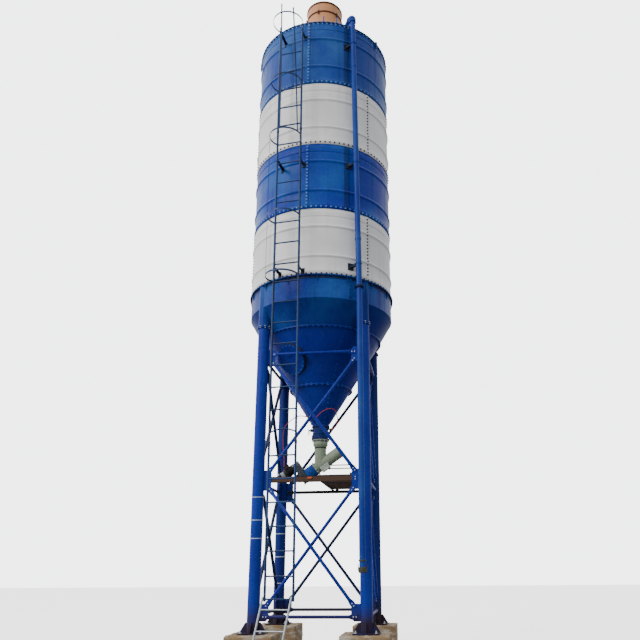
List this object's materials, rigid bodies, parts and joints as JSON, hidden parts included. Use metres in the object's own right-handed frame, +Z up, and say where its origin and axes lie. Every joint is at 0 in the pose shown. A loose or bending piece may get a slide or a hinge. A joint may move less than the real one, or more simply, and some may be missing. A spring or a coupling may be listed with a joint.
{
  "type": "cement silo",
  "caption": "Bolted steel cement silo on a braced tube frame, with cone hopper, screw feeder, fill pipe, caged ladder and roof dust filter",
  "frame": {"origin": "floor level, under the centre of the whole object's box", "axes": "+Z up along the silo; the front with the ladder and the fill pipe faces -Y; +X to the viewer's right"},
  "size_m": [2.876, 3.5428, 14.013],
  "materials": {
    "shell_blue_paint": "satin, weathered",
    "shell_white_paint": "satin, weathered",
    "roof_blue_paint": "satin, dusty",
    "frame_blue_paint": "satin",
    "hopper_blue_paint": "satin",
    "pipe_blue_paint": "satin",
    "ladder_dark_paint": "satin, worn",
    "filter_tan_paint": "satin, dusty",
    "valve_blue_paint": "satin",
    "lever_black_steel": "matt",
    "feeder_green_paint": "satin, dusty",
    "drive_grey_casting": "painted casting",
    "motor_dark_casting": "painted casting",
    "rusty_steel": "rusted rolled steel",
    "rough_concrete": "rough cast concrete, dirty",
    "bare_steel": "galvanised, dull",
    "hose_red_rubber": "smooth"
  },
  "bodies": {
    "silo": {"air_hose": "hose_red_rubber", "air_regulator": "bare_steel", "ball_joint": "feeder_green_paint", "bottom_tie_front": "frame_blue_paint", "bottom_tie_left": "frame_blue_paint", "bottom_tie_rear": "frame_blue_paint", "bottom_tie_right": "frame_blue_paint", "drive_motor": "motor_dark_casting", "feeder_drive": "drive_grey_casting", "feeder_tube": "feeder_green_paint", "fill_pipe": "pipe_blue_paint", "filter_cover": "filter_tan_paint", "filter_housing": "filter_tan_paint", "hopper_lower": "hopper_blue_paint", "hopper_middle": "hopper_blue_paint", "ladder": "ladder_dark_paint", "ladder_cage": "ladder_dark_paint", "leg_front_left": "frame_blue_paint", "leg_front_right": "frame_blue_paint", "leg_rear_left": "frame_blue_paint", "leg_rear_right": "frame_blue_paint", "lower_brace_front_a": "frame_blue_paint", "lower_brace_front_b": "frame_blue_paint", "lower_brace_left_a": "frame_blue_paint", "lower_brace_left_b": "frame_blue_paint", "lower_brace_rear_a": "frame_blue_paint", "lower_brace_rear_b": "frame_blue_paint", "lower_brace_right_a": "frame_blue_paint", "lower_brace_right_b": "frame_blue_paint", "lower_ladder": "bare_steel", "manhole_cover": "hopper_blue_paint", "mid_tie_left": "frame_blue_paint", "mid_tie_right": "frame_blue_paint", "plinth_front_left": "rough_concrete", "plinth_front_right": "rough_concrete", "plinth_rear_left": "rough_concrete", "plinth_rear_right": "rough_concrete", "roof": "roof_blue_paint", "service_deck": "rusty_steel", "shell_course_bottom": "shell_white_paint", "shell_course_lower": "shell_blue_paint", "shell_course_top": "shell_blue_paint", "shell_course_upper": "shell_white_paint", "skirt_ring": "frame_blue_paint", "upper_brace_front_a": "frame_blue_paint", "upper_brace_front_b": "frame_blue_paint", "upper_brace_left_a": "frame_blue_paint", "upper_brace_left_b": "frame_blue_paint", "upper_brace_rear_a": "frame_blue_paint", "upper_brace_rear_b": "frame_blue_paint", "upper_brace_right_a": "frame_blue_paint", "upper_brace_right_b": "frame_blue_paint", "upper_tie_front": "frame_blue_paint", "upper_tie_left": "frame_blue_paint", "upper_tie_rear": "frame_blue_paint", "upper_tie_right": "frame_blue_paint", "valve_body": "valve_blue_paint"},
    "lever": {"valve_lever": "lever_black_steel"}
  },
  "joints": [
    {"name": "valve_lever_turn", "type": "hinge", "parent": "silo", "child": "lever", "pos_m": [0, 0.3315, 4.015], "axis": [1, 0, 0], "range_deg": [0, 90]}
  ]
}
